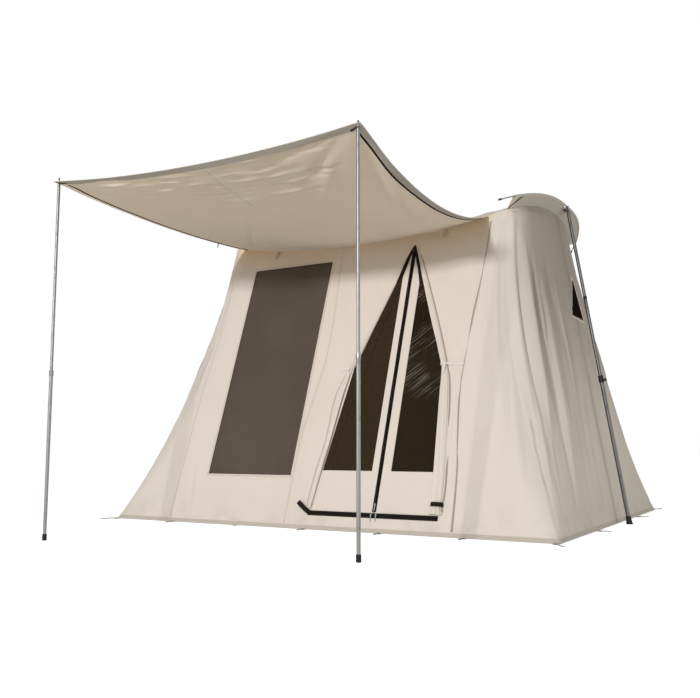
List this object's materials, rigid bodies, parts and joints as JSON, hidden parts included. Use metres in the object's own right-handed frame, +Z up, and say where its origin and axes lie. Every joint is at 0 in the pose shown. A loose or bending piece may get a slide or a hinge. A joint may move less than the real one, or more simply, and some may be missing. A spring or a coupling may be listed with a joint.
{
  "type": "canvas cabin tent",
  "caption": "Canvas cabin tent held up by spring bars on two outside poles, with a zipped netting door, a window and an awning on two poles.",
  "frame": {"origin": "on the ground below the middle of the whole part, awning and pegs included", "axes": "+X to the right seen from the front, +Y from the awning towards the rear, +Z up"},
  "size_m": [3.2456, 3.9058, 2.1186],
  "materials": {
    "canvas": "woven cotton canvas",
    "floor": "coated groundsheet",
    "netting": "fine insect netting",
    "blind": "woven, dark in the shade",
    "zip": "coil zip tape",
    "webbing": "flat woven webbing",
    "spring_steel": "dark spring steel",
    "galvanised": "zinc coated steel",
    "plated": "plated",
    "rubber": "moulded",
    "black_plastic": "moulded"
  },
  "bodies": {
    "tent": {"floor": "floor", "front_wall": "canvas", "rear_wall": "canvas", "left_end_wall": "canvas", "right_end_wall": "canvas", "roof": "canvas", "left_front_sleeve": "canvas", "left_rear_sleeve": "canvas", "right_front_sleeve": "canvas", "right_rear_sleeve": "canvas", "awning_canopy": "canvas", "front_window_mesh": "netting", "front_window_blind": "blind", "left_end_window_mesh": "netting", "right_end_window_mesh": "netting", "door_left_side_mesh": "netting", "door_right_side_mesh": "netting", "door_left_flap": "canvas", "door_right_flap": "canvas", "door_sill_zip": "zip", "left_spring_bar": "spring_steel", "right_spring_bar": "spring_steel", "left_end_pole_top_tube": "galvanised", "left_end_pole_middle_tube": "galvanised", "left_end_pole_saddle": "plated", "right_end_pole_top_tube": "galvanised", "right_end_pole_middle_tube": "galvanised", "right_end_pole_saddle": "plated", "awning_left_upper_tube": "galvanised", "awning_right_upper_tube": "galvanised", "front_hem": "webbing", "rear_hem": "webbing", "left_hem": "webbing", "right_hem": "webbing", "front_left_peg": "galvanised", "front_right_peg": "galvanised", "rear_left_peg": "galvanised", "rear_right_peg": "galvanised"},
    "left_pole_lower": {"left_end_pole_lower_tube": "galvanised", "left_end_pole_collar": "black_plastic", "left_end_pole_foot": "rubber"},
    "left_pole_knob": {"left_end_pole_knob": "black_plastic"},
    "right_pole_lower": {"right_end_pole_lower_tube": "galvanised", "right_end_pole_collar": "black_plastic", "right_end_pole_foot": "rubber"},
    "right_pole_knob": {"right_end_pole_knob": "black_plastic"},
    "awning_left_lower": {"awning_left_lower_tube": "galvanised", "awning_left_foot": "rubber"},
    "awning_left_lock": {"awning_left_lock_collar": "black_plastic"},
    "awning_right_lower": {"awning_right_lower_tube": "galvanised", "awning_right_foot": "rubber"},
    "awning_right_lock": {"awning_right_lock_collar": "black_plastic"},
    "door_left_half": {"door_left_panel": "canvas", "door_left_mesh": "netting"},
    "door_right_half": {"door_right_panel": "canvas", "door_right_mesh": "netting", "door_centre_zip": "zip"},
    "centre_slider": {"door_centre_slider": "plated"},
    "left_slider": {"door_left_slider": "plated"},
    "right_slider": {"door_right_slider": "plated"}
  },
  "joints": [
    {"name": "left_pole_length", "type": "slide", "parent": "tent", "child": "left_pole_lower", "axis": [0.1568, 0, 0.9876], "range_m": [0, 0.5]},
    {"name": "left_pole_screw", "type": "hinge", "parent": "left_pole_lower", "child": "left_pole_knob", "pos_m": [-1.45649, 0.53465, 0.91652], "axis": [-0.9876, 0, 0.1568], "range_deg": [0, 540]},
    {"name": "right_pole_length", "type": "slide", "parent": "tent", "child": "right_pole_lower", "axis": [-0.1568, 0, 0.9876], "range_m": [0, 0.5]},
    {"name": "right_pole_screw", "type": "hinge", "parent": "right_pole_lower", "child": "right_pole_knob", "pos_m": [1.45649, 0.53465, 0.91652], "axis": [0.9876, 0, 0.1568], "range_deg": [0, 540]},
    {"name": "awning_left_length", "type": "slide", "parent": "tent", "child": "awning_left_lower", "axis": [0, 0, 1], "range_m": [0, 0.55]},
    {"name": "awning_left_twist", "type": "hinge", "parent": "awning_left_lower", "child": "awning_left_lock", "pos_m": [-0.87, -1.93034, 0.88], "axis": [0, 0, 1], "range_deg": [0, 90]},
    {"name": "awning_right_length", "type": "slide", "parent": "tent", "child": "awning_right_lower", "axis": [0, 0, 1], "range_m": [0, 0.55]},
    {"name": "awning_right_twist", "type": "hinge", "parent": "awning_right_lower", "child": "awning_right_lock", "pos_m": [0.965, -1.83535, 0.88], "axis": [0, 0, 1], "range_deg": [0, 90]},
    {"name": "door_left_fold", "type": "hinge", "parent": "tent", "child": "door_left_half", "pos_m": [0.015, -0.72629, 0.112], "axis": [0.2339, 0.3202, 0.918], "range_deg": [0, 150]},
    {"name": "door_right_fold", "type": "hinge", "parent": "tent", "child": "door_right_half", "pos_m": [0.875, -0.72629, 0.112], "axis": [0.2339, -0.3202, -0.918], "range_deg": [0, 150]},
    {"name": "centre_zip_run", "type": "slide", "parent": "door_right_half", "child": "centre_slider", "axis": [0, 0.3293, 0.9442], "range_m": [0, 1.6]},
    {"name": "left_sill_zip_run", "type": "slide", "parent": "tent", "child": "left_slider", "axis": [-1, 0, 0], "range_m": [0, 0.4]},
    {"name": "right_sill_zip_run", "type": "slide", "parent": "tent", "child": "right_slider", "axis": [1, 0, 0], "range_m": [0, 0.4]}
  ]
}
